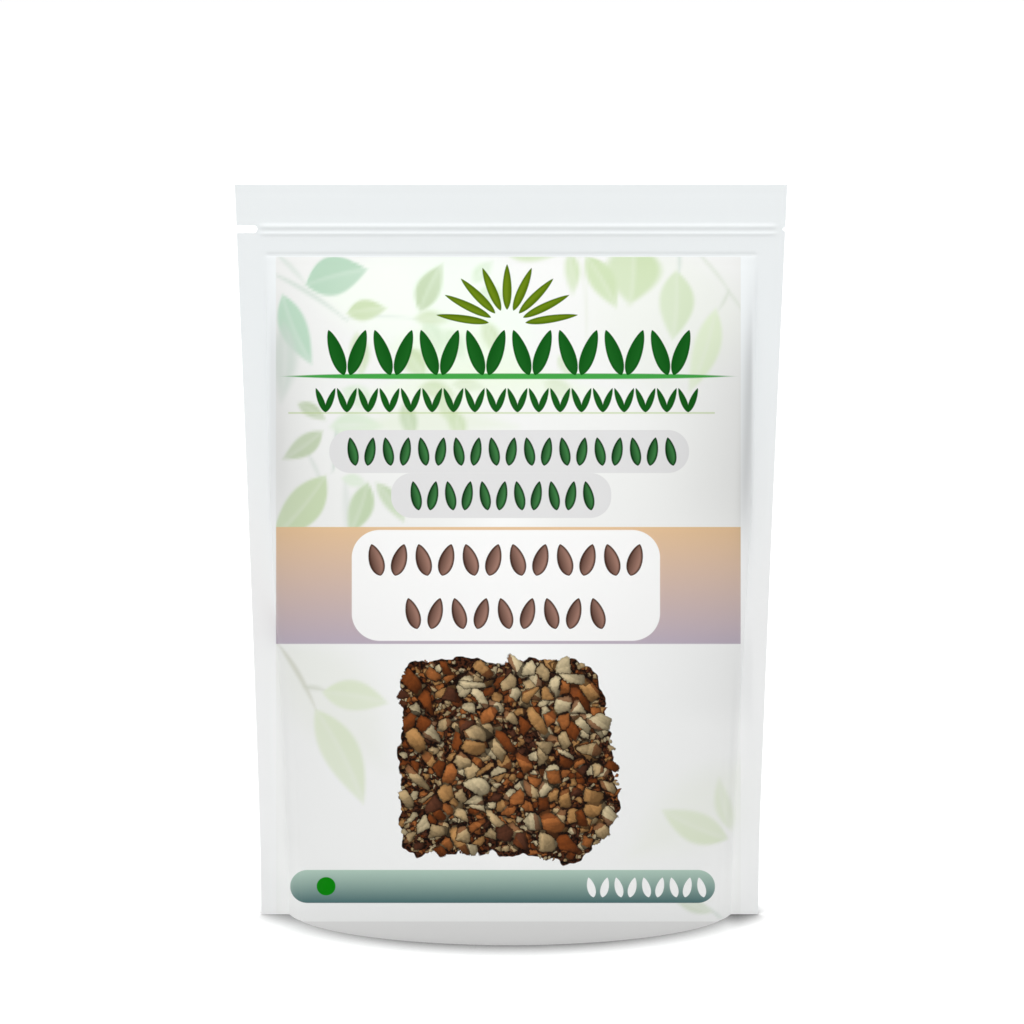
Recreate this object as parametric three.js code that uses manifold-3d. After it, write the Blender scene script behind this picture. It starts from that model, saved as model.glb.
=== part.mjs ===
// A filled, shut stand-up pouch of heat-sealed film, in millimetres.
// It stands on its opened-out bottom gusset, front towards -Y, +X to the viewer's right,
// +Z up, with the origin on the floor under the middle of the pouch.
// The side seals and the header are flat films welded together; between them the contents
// push the front and back films out, most of all in the lower half.

import * as THREE from 'three';
import { mergeVertices } from 'three/addons/utils/BufferGeometryUtils.js';
import Module from 'manifold-3d';

// Pouch as it stands
const HEIGHT = 317;            // floor to the top edge
const HALF_WIDTH_TOP = 115;    // outer edge at the header: a 230 mm wide flat pouch
const HALF_WIDTH_FOOT = 108.3; // outer edge near the floor, drawn in by the opened gusset
const DRAW_IN_START = 30;      // below this height the outer edges run straight down
const FOOT_LEAN = -0.6;        // the feet stand this far to the left of the header's middle
const DRAW_IN_CURVE = 1.15;    // 1 would make the drawn-in outer edges straight

// Filled body between the side seals
const SHOULDER = 286.6;          // where the films part, under the zip
const HALF_CHORD_TOP = 102.8;  // seal line to seal line, halved
const HALF_CHORD_FOOT = 96.4;
const BODY_LEAN = -0.5;        // the body is this far to the right at the floor
const SEAL_RISE = 0.8;         // share of SHOULDER over which the seal lines spread to the top's
const BODY_DEPTH = 91;         // front to back of the filled lower body
const BELLY = 2.2;             // how much more the body bulges at half height
const TUCK = 32;               // height over which the films turn in to the floor
const TUCK_IN = 3.6;           // how far they turn in: the base is 84 mm deep
const SLOPE_POWER = 2.4;       // how soon the side view reaches its full depth
const SIDE_FULLNESS = 0.55;    // plan view of the body: under 1 leaves the seal steeply
const CORNER_FLATNESS = -0.1;  // change of that fullness at the shoulder
const CORNER_REACH = 0.12;     // share of the body height over which the change fades
const SEAL_ROOT_TOP = 0.25;    // length over which the films part from a seal, in the upper half
const SEAL_ROOT_FOOT = 2.5;    // and near the feet, where they part more gently
const ROOT_HIGH = 150;
const ROOT_LOW = 40;

// Flat zones, zip and tear notches
const FLAT_HALF_THICK = 0.3;   // two welded films, halved
const ZIP_LEFT = -104.3;
const ZIP_RIGHT = 110.1;
const ZIP_LINES = [
  { height: 299.5, halfWidth: 1.4, halfThick: 0.75 },
  { height: 296.5, halfWidth: 1.0, halfThick: 0.6 },
];
const NOTCH_HEIGHT = 298.4;
const NOTCH_OPENING = 3.1;
const NOTCH_END = -105.9;
const NICK_DEPTH = 1.3;
const NICK_HALF_OPENING = 1.1;
const CUT_SPARE = 2;           // how far the cutters reach past the outer edge
const CUT_REACH = 10;          // and from front to back

// Mesh density
const BODY_COLUMNS = 34;
const TUCK_ROWS = 6;
const BODY_ROWS = 32;
const SHOULDER_CROWDING = 1.35; // over 1 crowds the rows towards the shoulder
const HEADER_ROWS = 2;
const COLUMNS = BODY_COLUMNS + 2;
const ROWS = TUCK_ROWS + BODY_ROWS + HEADER_ROWS;
const BAR_SEGMENTS = 12;
const CUT_SEGMENTS = 8;
const MERGE_DISTANCE = 1e-4;

// Share of the way up from the feet to the header
function rise(z) {
  return THREE.MathUtils.clamp((z - DRAW_IN_START) / (HEIGHT - DRAW_IN_START), 0, 1);
}

function outerEdge(side, z) {
  const half = HALF_WIDTH_FOOT + (HALF_WIDTH_TOP - HALF_WIDTH_FOOT) * rise(z) ** DRAW_IN_CURVE;
  return side * half + FOOT_LEAN * (1 - rise(z));
}

function sealLine(side, z) {
  const up = THREE.MathUtils.smoothstep(z, 0, SHOULDER * SEAL_RISE);
  const half = THREE.MathUtils.lerp(HALF_CHORD_FOOT, HALF_CHORD_TOP, up);
  return side * half + BODY_LEAN * (1 - up);
}

// Half depth of the body in its middle, as the side view shows it
function middleDepth(z) {
  if (z >= SHOULDER) return 0;
  const down = 1 - z / SHOULDER;
  const slope = 1 - (1 - down) ** SLOPE_POWER;
  const belly = BELLY * Math.sin(Math.PI * down) ** 2 * down;
  const turn = Math.max(0, 1 - z / TUCK);
  return (BODY_DEPTH / 2) * slope + belly - TUCK_IN * turn * turn;
}

// Half depth at a share u of the way from the middle (0) to a seal line (1 or -1)
function halfDepth(u, z) {
  const down = 1 - Math.min(z, SHOULDER) / SHOULDER;
  const power = SIDE_FULLNESS + CORNER_FLATNESS * Math.exp(-down / CORNER_REACH);
  const away = HALF_CHORD_TOP * (1 - Math.abs(u));
  const low = 1 - THREE.MathUtils.smoothstep(z, ROOT_LOW, ROOT_HIGH);
  const root = away / (away + THREE.MathUtils.lerp(SEAL_ROOT_TOP, SEAL_ROOT_FOOT, low));
  return FLAT_HALF_THICK + middleDepth(z) * Math.max(0, 1 - u * u) ** power * root;
}

// Heights of the mesh rows, closest together at the shoulder and at the floor
function rowHeight(row) {
  if (row <= TUCK_ROWS) return TUCK * row / TUCK_ROWS;
  const left = TUCK_ROWS + BODY_ROWS - row;
  if (left >= 0) return SHOULDER - (SHOULDER - TUCK) * (left / BODY_ROWS) ** SHOULDER_CROWDING;
  return SHOULDER - (HEIGHT - SHOULDER) * left / HEADER_ROWS;
}

// The first and last columns are the outer edges, and those next to them the seal lines
function columnShare(column) {
  return Math.sin(Math.PI * ((column - 1) / BODY_COLUMNS - 0.5));
}

function columnPlace(column, z) {
  if (column === 0) return outerEdge(-1, z);
  if (column === COLUMNS) return outerEdge(1, z);
  const middle = (sealLine(1, z) + sealLine(-1, z)) / 2;
  const half = (sealLine(1, z) - sealLine(-1, z)) / 2;
  return middle + half * columnShare(column);
}

// A box with a fine grid of faces, each vertex moved out to the pouch's surface
function pouchFilm() {
  const geometry = new THREE.BoxGeometry(2, 2, 2, COLUMNS, 1, ROWS);
  const place = geometry.attributes.position;
  for (let n = 0; n < place.count; n += 1) {
    const column = Math.round((place.getX(n) + 1) / 2 * COLUMNS);
    const row = Math.round((place.getZ(n) + 1) / 2 * ROWS);
    const face = Math.sign(place.getY(n));
    const z = rowHeight(row);
    const inSeal = column === 0 || column === COLUMNS;
    const depth = inSeal ? FLAT_HALF_THICK : halfDepth(columnShare(column), z);
    place.setXYZ(n, columnPlace(column, z), face * depth, z);
  }
  return geometry;
}

// One line of the press-to-close zip: an oval bar that stands out of both films
function zipLine({ height, halfWidth, halfThick }) {
  const section = new THREE.Shape();
  section.absellipse(0, 0, halfWidth, halfThick, 0, 2 * Math.PI);
  const length = ZIP_RIGHT - ZIP_LEFT;
  const bar = new THREE.ExtrudeGeometry(section, {
    depth: length, steps: 1, bevelEnabled: false, curveSegments: BAR_SEGMENTS,
  });
  bar.rotateY(Math.PI / 2);
  bar.translate(ZIP_LEFT, 0, height);
  return bar;
}

// A flat outline in the front view, pushed right through the films
function throughCut(outline) {
  const cut = new THREE.ExtrudeGeometry(outline, {
    depth: CUT_REACH, steps: 1, bevelEnabled: false, curveSegments: CUT_SEGMENTS,
  });
  cut.rotateX(Math.PI / 2);
  cut.translate(0, CUT_REACH / 2, 0);
  return cut;
}

// Tear notch in the left seal: a slot with a round end, open at the outer edge
function tearNotch() {
  const radius = NOTCH_OPENING / 2;
  const outside = -HALF_WIDTH_TOP - CUT_SPARE;
  const slot = new THREE.Shape();
  slot.moveTo(outside, NOTCH_HEIGHT - radius);
  slot.lineTo(NOTCH_END - radius, NOTCH_HEIGHT - radius);
  slot.absarc(NOTCH_END - radius, NOTCH_HEIGHT, radius, -Math.PI / 2, Math.PI / 2, false);
  slot.lineTo(outside, NOTCH_HEIGHT + radius);
  slot.closePath();
  return throughCut(slot);
}

// A small wedge nicked out of the right edge at the same height
function tearNick() {
  const edge = outerEdge(1, NOTCH_HEIGHT);
  const flare = NICK_HALF_OPENING * (NICK_DEPTH + CUT_SPARE) / NICK_DEPTH;
  const nick = new THREE.Shape();
  nick.moveTo(edge + CUT_SPARE, NOTCH_HEIGHT - flare);
  nick.lineTo(edge + CUT_SPARE, NOTCH_HEIGHT + flare);
  nick.lineTo(edge - NICK_DEPTH, NOTCH_HEIGHT);
  nick.closePath();
  return throughCut(nick);
}

const wasm = await Module();
wasm.setup();

function solidOf(geometry) {
  const bare = geometry.clone();
  bare.deleteAttribute('normal');
  bare.deleteAttribute('uv');
  const merged = mergeVertices(bare, MERGE_DISTANCE);
  return new wasm.Manifold(new wasm.Mesh({
    numProp: 3,
    vertProperties: new Float32Array(merged.attributes.position.array),
    triVerts: new Uint32Array(merged.index.array),
  }));
}

function geometryOf(solid) {
  const mesh = solid.getMesh();
  const geometry = new THREE.BufferGeometry();
  geometry.setAttribute('position', new THREE.BufferAttribute(mesh.vertProperties, 3));
  geometry.setIndex(new THREE.BufferAttribute(mesh.triVerts, 1));
  geometry.computeVertexNormals();
  return geometry;
}

let pouchSolid = solidOf(pouchFilm());
for (const line of ZIP_LINES) pouchSolid = pouchSolid.add(solidOf(zipLine(line)));
pouchSolid = pouchSolid.subtract(solidOf(tearNotch())).subtract(solidOf(tearNick()));

const whiteFilm = new THREE.MeshStandardMaterial({
  color: 0xe9edee, roughness: 0.35, metalness: 0,
});
const pouch = new THREE.Mesh(geometryOf(pouchSolid), whiteFilm);
pouch.name = 'pouch';

const group = new THREE.Group();
group.add(pouch);
export default group;
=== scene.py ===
"""Looks of the filled stand-up pouch: printed film, seals, zip lines and gusset, with its light and camera.

Lengths are written in millimetres and become metres where a mesh is made.
"""

import math

import bmesh
import bpy
import numpy as np
from mathutils import Matrix, Vector


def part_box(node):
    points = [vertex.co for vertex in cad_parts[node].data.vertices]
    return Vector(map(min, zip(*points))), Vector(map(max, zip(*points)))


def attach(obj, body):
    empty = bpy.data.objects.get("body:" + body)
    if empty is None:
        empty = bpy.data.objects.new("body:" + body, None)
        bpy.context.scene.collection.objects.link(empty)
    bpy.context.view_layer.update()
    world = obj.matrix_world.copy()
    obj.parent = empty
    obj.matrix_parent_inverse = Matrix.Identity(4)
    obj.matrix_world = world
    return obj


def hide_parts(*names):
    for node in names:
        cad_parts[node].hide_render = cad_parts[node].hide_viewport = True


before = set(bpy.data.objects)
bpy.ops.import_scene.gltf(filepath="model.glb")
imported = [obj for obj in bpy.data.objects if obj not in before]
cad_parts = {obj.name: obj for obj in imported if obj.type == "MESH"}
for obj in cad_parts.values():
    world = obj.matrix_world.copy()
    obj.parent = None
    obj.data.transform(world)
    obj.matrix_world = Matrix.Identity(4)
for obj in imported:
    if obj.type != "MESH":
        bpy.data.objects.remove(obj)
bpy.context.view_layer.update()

MM = 0.001
POUCH_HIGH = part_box("pouch")[1] / MM

# The pouch as it stands, the same shape as its solid
HEIGHT = POUCH_HIGH.z
HALF_WIDTH_TOP = POUCH_HIGH.x
HALF_WIDTH_FOOT = 108.3
# The outer edges draw in from the header down to this height, and run straight down below it
DRAW_IN_START = 30.0
DRAW_IN_CURVE = 1.15
# x of the middle between the feet, next to the header's
FOOT_LEAN = -0.6
# Filled body: where the films part, and its width from seal line to seal line, halved
SHOULDER = 286.6
HALF_CHORD_TOP = 102.8
HALF_CHORD_FOOT = 96.4
# Share of SHOULDER over which the seal lines spread to the top's, and x of the body's middle at the floor
SEAL_RISE = 0.8
BODY_LEAN = -0.5
# Depth from front to back, how much more it bulges at half height, and how the films turn in to the floor
BODY_DEPTH = 91.0
BELLY = 2.2
TUCK = 32.0
TUCK_IN = 3.6
SLOPE_POWER = 2.4
# Plan view of the body: under 1 leaves the seal steeply, and steeper still near the shoulder
SIDE_FULLNESS = 0.55
CORNER_FLATNESS = -0.1
CORNER_REACH = 0.12
FLAT_HALF_THICK = 0.3
# Length over which the film leaves the seal, above ROOT_HIGH and below ROOT_LOW
SEAL_ROOT_TOP = 0.25
SEAL_ROOT_FOOT = 2.5
ROOT_HIGH = 150.0
ROOT_LOW = 40.0
# Level lines pressed into the film: height, half width, how far it stands out
ZIP_LINES = ((299.5, 1.0, 0.28), (296.5, 0.75, 0.22))
HEM_LINES = ((313.1, 0.5, -0.05),)
BODY_LINES = ((287.7, 0.8, -0.2), (283.4, 0.7, -0.05))
# Ends of the zip lines, and of the body lines beside the place of the seal line
ZIP_LEFT = -104.3
ZIP_RIGHT = 110.1
ZIP_END_FADE = 0.6
BODY_LINES_SHORT = 2.0
BODY_LINES_PAST = 1.0
# Tear notch on the left, nick on the right, and how far their cutters reach past the film
NOTCH_HEIGHT = 298.4
NOTCH_OPENING = 3.1
NOTCH_END = -105.9
NOTCH_STEPS = 12
NICK_DEPTH = 1.3
NICK_HALF_OPENING = 1.1
CUT_SPARE = 2.0
CUT_REACH = 10.0
# Upright folds: distance in from the seal line, half width, how far out, top, height over which they fade
FOOT_FOLDS = ((2.2, 1.6, 0.5, 150.0, 60.0), (5.6, 0.9, -0.4, 120.0, 40.0))
FOLDS_OUTSIDE = 4.0
FOLDS_INSIDE = 30.0
FILM = 0.28

# The print's lines look straight and upright to a reader who stands here and looks down by this angle
READER_AWAY = 1200.0
READER_HEIGHT = 403.0
READER_TILT = math.radians(10.6)
READER_DISTANCE = 1226.0


# Shape of the pouch


def smooth(low, high, value):
    """0 at low, 1 at high, and a soft curve between them."""
    share = min(max((value - low) / (high - low), 0.0), 1.0)
    return share * share * (3 - 2 * share)


def rise(z):
    """Share of the way up from the feet to the header."""
    return min(max((z - DRAW_IN_START) / (HEIGHT - DRAW_IN_START), 0.0), 1.0)


def outer_edge(side, z):
    half = HALF_WIDTH_FOOT + (HALF_WIDTH_TOP - HALF_WIDTH_FOOT) * rise(z) ** DRAW_IN_CURVE
    return side * half + FOOT_LEAN * (1 - rise(z))


def seal_line(side, z):
    up = smooth(0, SHOULDER * SEAL_RISE, z)
    half = HALF_CHORD_FOOT + (HALF_CHORD_TOP - HALF_CHORD_FOOT) * up
    return side * half + BODY_LEAN * (1 - up)


def middle_depth(z):
    """Half depth of the body in its middle."""
    if z >= SHOULDER:
        return 0.0
    down = 1 - z / SHOULDER
    slope = 1 - (1 - down) ** SLOPE_POWER
    belly = BELLY * math.sin(math.pi * down) ** 2 * down
    turn = max(0.0, 1 - z / TUCK)
    return BODY_DEPTH / 2 * slope + belly - TUCK_IN * turn * turn


def half_depth(u, z):
    """Half depth at a share u of the way from the middle to a seal line."""
    down = 1 - min(z, SHOULDER) / SHOULDER
    power = SIDE_FULLNESS + CORNER_FLATNESS * math.exp(-down / CORNER_REACH)
    away = HALF_CHORD_TOP * (1 - abs(u))
    root = SEAL_ROOT_TOP + (SEAL_ROOT_FOOT - SEAL_ROOT_TOP) * (1 - smooth(ROOT_LOW, ROOT_HIGH, z))
    root = away / (away + root)
    return FLAT_HALF_THICK + middle_depth(z) * max(0.0, 1 - u * u) ** power * root


def level_lines(lines, z):
    """How far the film stands out at height z because of the level lines pressed into it."""
    return sum(high * math.exp(-(((z - at) / wide) ** 2)) for at, wide, high in lines)


def relief(x, z):
    """Small forms on the film: zip lines, hem, and the folds beside the seals near the feet."""
    ends = smooth(ZIP_LEFT - ZIP_END_FADE, ZIP_LEFT + ZIP_END_FADE, x)
    ends *= smooth(ZIP_RIGHT + ZIP_END_FADE, ZIP_RIGHT - ZIP_END_FADE, x)
    across = smooth(HALF_CHORD_TOP + BODY_LINES_PAST, HALF_CHORD_TOP - BODY_LINES_SHORT, abs(x))
    out = ends * level_lines(ZIP_LINES, z) + across * level_lines(BODY_LINES, z) + level_lines(HEM_LINES, z)
    for side in (-1, 1):
        inward = side * (seal_line(side, z) - x)
        if -FOLDS_OUTSIDE < inward < FOLDS_INSIDE:
            for at, wide, high, top, fade in FOOT_FOLDS:
                out += high * math.exp(-(((inward - at) / wide) ** 2)) * smooth(top, top - fade, z)
    return out


# Meshes

# Edges sharper than this stay crisp
SHARP_ANGLE = math.radians(40)


def finish_mesh(bm, name, slots):
    mesh = bpy.data.meshes.new(name)
    bm.to_mesh(mesh)
    bm.free()
    for material in slots:
        mesh.materials.append(material)
    piece = bpy.data.objects.new(name, mesh)
    bpy.context.scene.collection.objects.link(piece)
    return piece


def face_outwards(bm, way):
    """Turns an open sheet so that its faces point, on the whole, the way that a vector gives."""
    way = Vector(way)
    bmesh.ops.recalc_face_normals(bm, faces=bm.faces)
    if sum(face.normal.dot(way) for face in bm.faces) < 0:
        bmesh.ops.reverse_faces(bm, faces=bm.faces)


def smooth_faces(piece):
    piece.data.shade_smooth()
    piece.data.set_sharp_from_angle(angle=SHARP_ANGLE)


def set_on_vertices(piece, name, kind, field, values):
    attribute = piece.data.attributes.new(name, kind, "POINT")
    attribute.data.foreach_set(field, np.ravel(values))


# A film's grid: columns in each seal and in the body, which lie closer together towards the seals
SEAL_COLUMNS = 10
BODY_COLUMNS = 212
COLUMNS = 2 * SEAL_COLUMNS + BODY_COLUMNS
EDGE_CROWDING = 0.65
# Its rows, which lie closest together about the zip, between ZIP_LOW and ZIP_HIGH
BODY_ROWS = 270
ZIP_ROWS = 44
HEADER_ROWS = 12
ROWS = BODY_ROWS + ZIP_ROWS + HEADER_ROWS
ZIP_LOW = 285.0
ZIP_HIGH = 302.0


def row_height(row):
    if row <= BODY_ROWS:
        return ZIP_LOW * row / BODY_ROWS
    if row <= BODY_ROWS + ZIP_ROWS:
        return ZIP_LOW + (ZIP_HIGH - ZIP_LOW) * (row - BODY_ROWS) / ZIP_ROWS
    return ZIP_HIGH + (HEIGHT - ZIP_HIGH) * (row - BODY_ROWS - ZIP_ROWS) / HEADER_ROWS


def film_place(column, z):
    """(x, share of the way from the middle to a seal line) of a column of the film's grid."""
    if column < SEAL_COLUMNS:
        share = column / SEAL_COLUMNS
        return outer_edge(-1, z) * (1 - share) + seal_line(-1, z) * share, -1.0
    if column > COLUMNS - SEAL_COLUMNS:
        share = (COLUMNS - column) / SEAL_COLUMNS
        return outer_edge(1, z) * (1 - share) + seal_line(1, z) * share, 1.0
    even = 2 * (column - SEAL_COLUMNS) / BODY_COLUMNS - 1
    u = (1 - EDGE_CROWDING) * even + EDGE_CROWDING * math.sin(math.pi / 2 * even)
    left, right = seal_line(-1, z), seal_line(1, z)
    return (left + right) / 2 + (right - left) / 2 * u, u


# A face can be seen if it points outwards by more than this
SEEN_FACING = 0.02
# Strip of the bake map, at its foot, that is kept for faces that can't be seen, and how they lie in it
SPARE_STRIP = 0.02
SPARE_FILL = 0.4
SPARE_NARROWING = 1.05
# Heights that part the front print's three materials
PANEL_EDGES = (118.0, 174.5)


def print_place(side, x, y, z):
    """Where a point of the film falls on the print, in millimetres, for the reader it is laid out for."""
    nearer = READER_AWAY / (READER_AWAY - abs(y))
    height = READER_HEIGHT + (z - READER_HEIGHT) * nearer
    away = READER_AWAY * math.cos(READER_TILT) + (READER_HEIGHT - height) * math.sin(READER_TILT)
    return -side * x * nearer * READER_DISTANCE / away, height


def bake_place(across, up, seen):
    """Where a point falls on the bake map, across being -1 to 1 and up being 0 to 1."""
    if seen:
        return 0.5 + across / 2, SPARE_STRIP + (1 - SPARE_STRIP) * up
    return 0.5 + across / (2 * SPARE_NARROWING), SPARE_FILL * SPARE_STRIP * up


def lay_out_film(bm, side, panel_edges):
    """Sets both maps and every face's material: a panel of the print, or the last where it can't be seen."""
    bake_map = bm.loops.layers.uv.new("OFBake")
    print_map = bm.loops.layers.uv.new("print")
    for face in bm.faces:
        seen = face.normal.y * side > SEEN_FACING
        _, middle, height = face.calc_center_median() / MM
        height = print_place(side, 0.0, middle, height)[1]
        face.material_index = sum(height > edge for edge in panel_edges) if seen else len(panel_edges) + 1
        for loop in face.loops:
            x, y, z = loop.vert.co / MM
            loop[print_map].uv = print_place(side, x, y, z)
            loop[bake_map].uv = bake_place(-side * x / HALF_WIDTH_TOP, z / HEIGHT, seen)


def film_sheet(name, side, panel_edges, slots):
    """One face of the pouch: side is -1 for the front and 1 for the back."""
    bm = bmesh.new()
    bmesh.ops.create_grid(bm, x_segments=COLUMNS, y_segments=ROWS, size=1.0)
    thinned = bm.verts.layers.int.new("thinned")
    for vertex in bm.verts:
        column = round((vertex.co.x + 1) / 2 * COLUMNS)
        row = round((vertex.co.y + 1) / 2 * ROWS)
        z = row_height(row)
        x, u = film_place(column, z)
        vertex.co = Vector((x, side * (half_depth(u, z) + relief(x, z)), z)) * MM
        vertex[thinned] = column % 2 + row % 2 if 0 < column < COLUMNS and 0 < row < ROWS else 0
    face_outwards(bm, (0, side, 0))
    outer = {vertex: vertex.co.y * side for vertex in bm.verts}
    bmesh.ops.solidify(bm, geom=bm.faces[:], thickness=FILM * MM)
    # The inner face can't be seen, so every other row and column of it goes
    unseen = [vertex for vertex in bm.verts if vertex not in outer or vertex.co.y * side < outer[vertex]]
    for odd in (2, 1):
        bmesh.ops.dissolve_verts(bm, verts=[v for v in unseen if v.is_valid and v[thinned] == odd])
    bmesh.ops.recalc_face_normals(bm, faces=bm.faces)
    lay_out_film(bm, side, panel_edges)
    piece = finish_mesh(bm, name, slots)
    cut_notches(piece)
    places = [print_place(side, *(vertex.co / MM)) for vertex in piece.data.vertices]
    set_on_vertices(piece, "ground", "FLOAT_VECTOR", "vector", leafy_ground(places))
    # Painted shade and painted light for the film's colour, kept on its vertices
    set_on_vertices(piece, "shade", "FLOAT", "value", painted_film_shade(places))
    smooth_faces(piece)
    return piece


def notch_outline():
    """A slot with a round end, open at the left edge."""
    radius = NOTCH_OPENING / 2
    middle = NOTCH_END - radius
    turns = [math.pi * (step / NOTCH_STEPS - 0.5) for step in range(NOTCH_STEPS + 1)]
    end = [(middle + radius * math.cos(t), NOTCH_HEIGHT + radius * math.sin(t)) for t in turns]
    outside = -HALF_WIDTH_TOP - CUT_SPARE
    return [(outside, NOTCH_HEIGHT - radius), *end, (outside, NOTCH_HEIGHT + radius)]


def nick_outline():
    """A wedge that points inwards from the right edge."""
    edge = outer_edge(1, NOTCH_HEIGHT)
    flare = NICK_HALF_OPENING * (NICK_DEPTH + CUT_SPARE) / NICK_DEPTH
    outside, point = edge + CUT_SPARE, edge - NICK_DEPTH
    return [(outside, NOTCH_HEIGHT - flare), (outside, NOTCH_HEIGHT + flare), (point, NOTCH_HEIGHT)]


def cut_notches(piece):
    """Cuts the tear notch and the nick right through a film."""
    for outline in (notch_outline(), nick_outline()):
        bm = bmesh.new()
        ring = [bm.verts.new(Vector((x, -CUT_REACH / 2, z)) * MM) for x, z in outline]
        face = bm.faces.new(ring)
        pushed = bmesh.ops.extrude_face_region(bm, geom=[face])
        moved = [item for item in pushed["geom"] if isinstance(item, bmesh.types.BMVert)]
        bmesh.ops.translate(bm, verts=moved, vec=(0, CUT_REACH * MM, 0))
        bmesh.ops.recalc_face_normals(bm, faces=bm.faces)
        cutter = finish_mesh(bm, "cutter", [])
        cut = piece.modifiers.new("cut", "BOOLEAN")
        cut.operation = "DIFFERENCE"
        cut.solver = "EXACT"
        cut.object = cutter
        bpy.context.view_layer.update()
        shaped = bpy.data.meshes.new_from_object(piece.evaluated_get(bpy.context.evaluated_depsgraph_get()))
        piece.modifiers.clear()
        old = piece.data
        piece.data = shaped
        bpy.data.meshes.remove(old)
        bpy.data.objects.remove(cutter)


# The gusset's grid
GUSSET_COLUMNS = 80
GUSSET_ROWS = 40
# Its gap to the front and back films, and the share of the width between the seal lines that it fills
GUSSET_CLEAR = 0.35
GUSSET_SPAN = 0.985
# Its height where it is pressed flat and at the weld, which starts at this share of the way to a film
GUSSET_REST = 1.0
GUSSET_WELD = 5.0
GUSSET_WELD_START = 0.9
# How far its middle fold rises, and the share of the way to a film over which the fold fades
GUSSET_FOLD = 2.4
GUSSET_FOLD_REACH = 0.12


def gusset_height(v):
    """Height of the opened gusset at a share v of the way from its middle fold to a film."""
    weld = (GUSSET_WELD - GUSSET_REST) * smooth(GUSSET_WELD_START, 1.0, abs(v))
    fold = GUSSET_FOLD * math.exp(-abs(v) / GUSSET_FOLD_REACH)
    return GUSSET_REST + weld + fold


def gusset_sheet(name, slots):
    """The bottom film, pressed down by the contents, with the fold that runs from side to side."""
    bm = bmesh.new()
    bake_map = bm.loops.layers.uv.new("OFBake")
    bmesh.ops.create_grid(bm, x_segments=GUSSET_COLUMNS, y_segments=GUSSET_ROWS, size=1.0)
    for vertex in bm.verts:
        even, v = vertex.co.x, vertex.co.y
        z = gusset_height(v)
        u = math.sin(math.pi / 2 * even) * GUSSET_SPAN
        left, right = seal_line(-1, z), seal_line(1, z)
        x = (left + right) / 2 + (right - left) / 2 * u
        reach = half_depth(u, z) - GUSSET_CLEAR - FILM
        vertex.co = Vector((x, v * reach, z)) * MM
    face_outwards(bm, (0, 0, -1))
    bmesh.ops.solidify(bm, geom=bm.faces[:], thickness=FILM * MM)
    bmesh.ops.recalc_face_normals(bm, faces=bm.faces)
    for face in bm.faces:
        seen = -face.normal.z > SEEN_FACING
        for loop in face.loops:
            x, y, _ = loop.vert.co / MM
            loop[bake_map].uv = bake_place(x / HALF_WIDTH_TOP, 0.5 + y / BODY_DEPTH, seen)
    piece = finish_mesh(bm, name, slots)
    # The gusset has no painted shade: its shade is 1 throughout
    set_on_vertices(piece, "shade", "FLOAT", "value", np.ones(len(piece.data.vertices)))
    smooth_faces(piece)
    return piece


# Nodes


def group_tree(name, inputs, outputs):
    """A new node group with its sockets, and the painter that fills it."""
    tree = bpy.data.node_groups.new(name, "ShaderNodeTree")
    for way, sockets in (("INPUT", inputs), ("OUTPUT", outputs)):
        for label, kind in sockets.items():
            tree.interface.new_socket(label, in_out=way, socket_type=f"NodeSocket{kind}")
    return tree, Painter(tree)


# The sockets of a Mix node that are colours
MIX_UNDER = 6
MIX_OVER = 7
MIX_RESULT = 2


class Painter:
    """Adds nodes to one tree and joins them up."""

    def __init__(self, tree):
        self.tree = tree

    def add(self, kind, **settings):
        node = self.tree.nodes.new(kind if kind.startswith("NodeGroup") else f"ShaderNode{kind}")
        for name, value in settings.items():
            setattr(node, name, value)
        return node

    def feed(self, socket, value):
        if isinstance(value, bpy.types.NodeSocket):
            self.tree.links.new(value, socket)
        else:
            socket.default_value = value

    def math(self, operation, *values, clamp=False):
        node = self.add("Math", operation=operation, use_clamp=clamp)
        for socket, value in zip(node.inputs, values):
            self.feed(socket, value)
        return node.outputs[0]

    def vector(self, operation, *values):
        node = self.add("VectorMath", operation=operation)
        for socket, value in zip(node.inputs, values):
            self.feed(socket, value)
        return node.outputs["Value" if operation in ("LENGTH", "DOT_PRODUCT") else "Vector"]

    def split(self, vector):
        node = self.add("SeparateXYZ")
        self.feed(node.inputs[0], vector)
        return node.outputs

    def join(self, x, y, z=0.0):
        node = self.add("CombineXYZ")
        for socket, value in zip(node.inputs, (x, y, z)):
            self.feed(socket, value)
        return node.outputs[0]

    def reach(self, value, low, high, start=0.0, end=1.0, soft=True):
        """value's place between low and high, as a number from start to end."""
        node = self.add("MapRange", interpolation_type="SMOOTHSTEP" if soft else "LINEAR")
        for socket, number in zip(node.inputs, (value, low, high, start, end)):
            self.feed(socket, number)
        return node.outputs[0]

    def mix(self, share, under, over, blend="MIX"):
        node = self.add("Mix", data_type="RGBA", blend_type=blend)
        self.feed(node.inputs["Factor"], share)
        self.feed(node.inputs[MIX_UNDER], under)
        self.feed(node.inputs[MIX_OVER], over)
        return node.outputs[MIX_RESULT]

    def place(self, tree, *values):
        node = self.add("Group", node_tree=tree)
        for socket, value in zip(node.inputs, values):
            self.feed(socket, value)
        return node.outputs


def srgb(red, green, blue):
    """A colour read off a screen, 0 to 255, as the linear colour that a shader takes."""
    shares = (value / 255 for value in (red, green, blue))
    return tuple(s / 12.92 if s <= 0.04045 else ((s + 0.055) / 1.055) ** 2.4 for s in shares) + (1.0,)


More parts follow.
